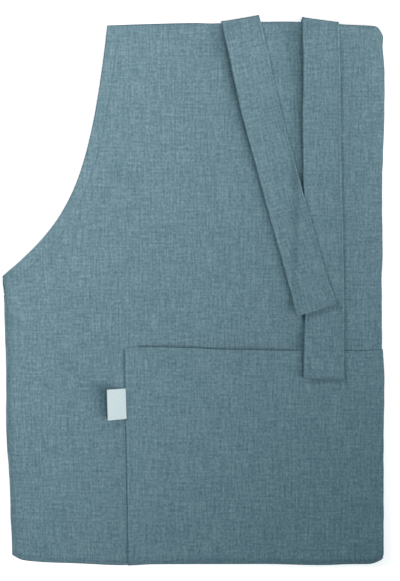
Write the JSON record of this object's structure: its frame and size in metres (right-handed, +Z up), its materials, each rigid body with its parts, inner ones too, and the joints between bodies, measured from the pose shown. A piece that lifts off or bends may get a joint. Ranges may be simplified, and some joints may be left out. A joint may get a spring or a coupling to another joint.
{
  "type": "kitchen apron",
  "caption": "Bib apron of plain woven linen, folded flat and lying front up, with a patch pocket, straps brought over the top of the bib and a blank side label.",
  "frame": {"origin": "middle of the underside of the box around the folded apron, on the surface it lies on", "axes": "+X to the right and +Y to the top of the bib as it lies front up, +Z up from the surface"},
  "size_m": [0.4018, 0.5778, 0.0079],
  "materials": {
    "linen": "plain weave, slubbed, grey blue",
    "label": "fine white weave, blank"
  },
  "bodies": {
    "root": {"apron_panel": "linen", "pocket": "linen", "tie_left": "linen", "tie_right": "linen", "side_label": "label"}
  },
  "joints": []
}
